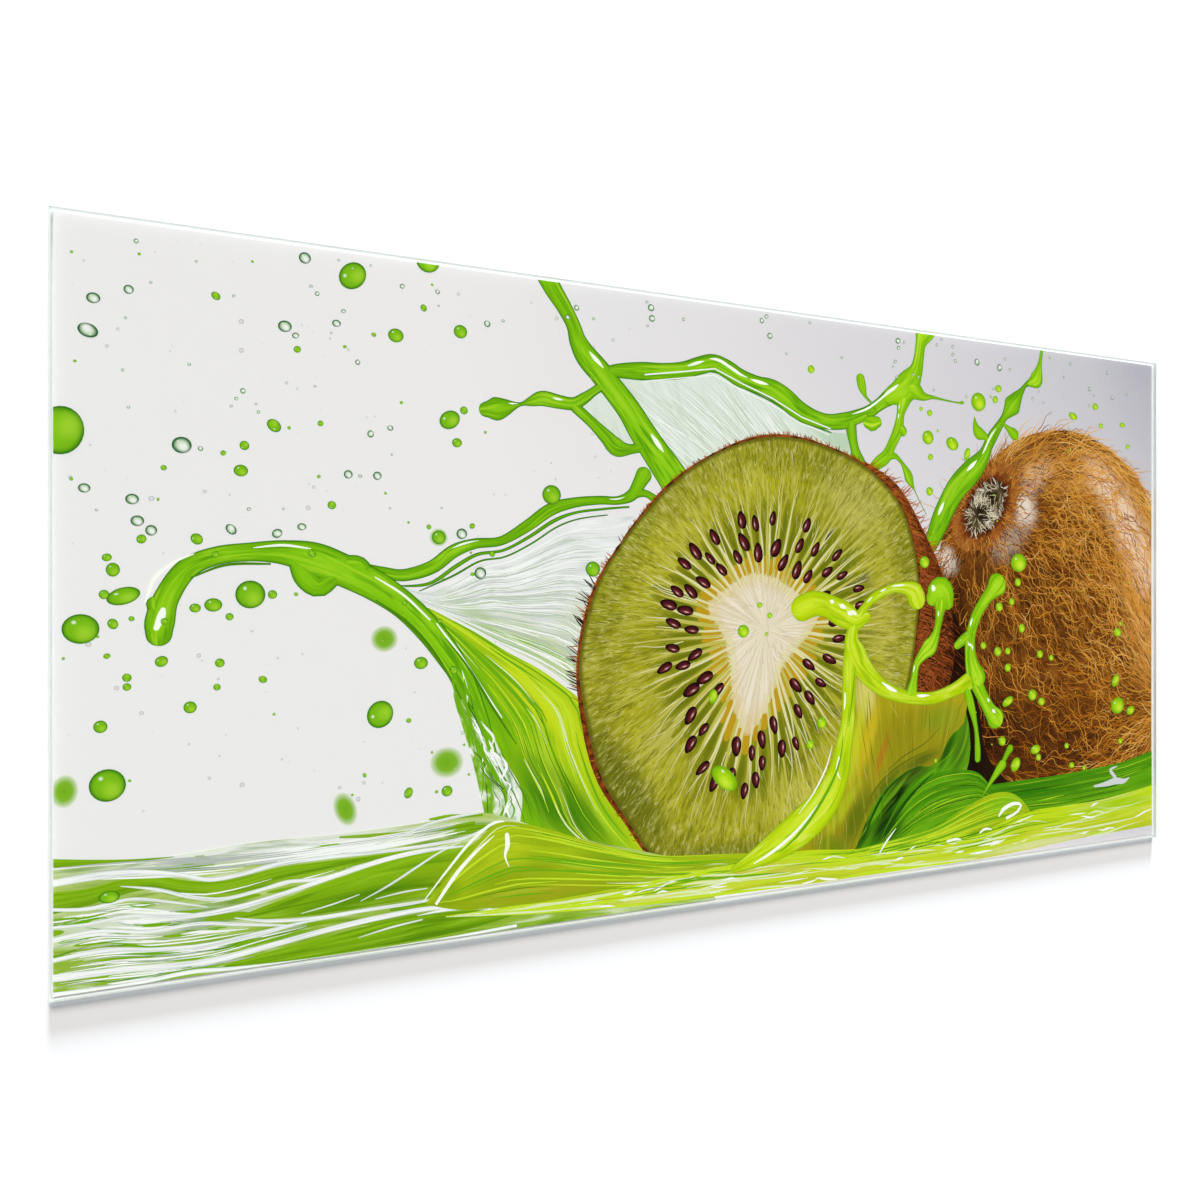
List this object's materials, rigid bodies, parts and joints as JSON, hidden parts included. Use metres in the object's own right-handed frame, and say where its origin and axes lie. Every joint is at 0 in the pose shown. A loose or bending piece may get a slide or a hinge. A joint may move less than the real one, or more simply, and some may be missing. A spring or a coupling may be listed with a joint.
{
  "type": "printed glass wall picture",
  "caption": "Flat clear glass sheet with polished edges and a colour print of cut and whole kiwi fruit in green juice fixed behind it.",
  "frame": {"origin": "middle of the underside, where the picture lies on a surface", "axes": "+X along the picture's width, +Y towards the picture's top edge, +Z out of the glass front"},
  "size_m": [1, 0.5, 0.005],
  "materials": {
    "clear_glass": "float glass, flat and glossy, edges ground and polished",
    "printed_picture": "flat colour inks on a white coat and foil, seen through the glass"
  },
  "bodies": {
    "root": {"glass_sheet": "clear_glass", "picture_layer": "printed_picture"}
  },
  "joints": []
}
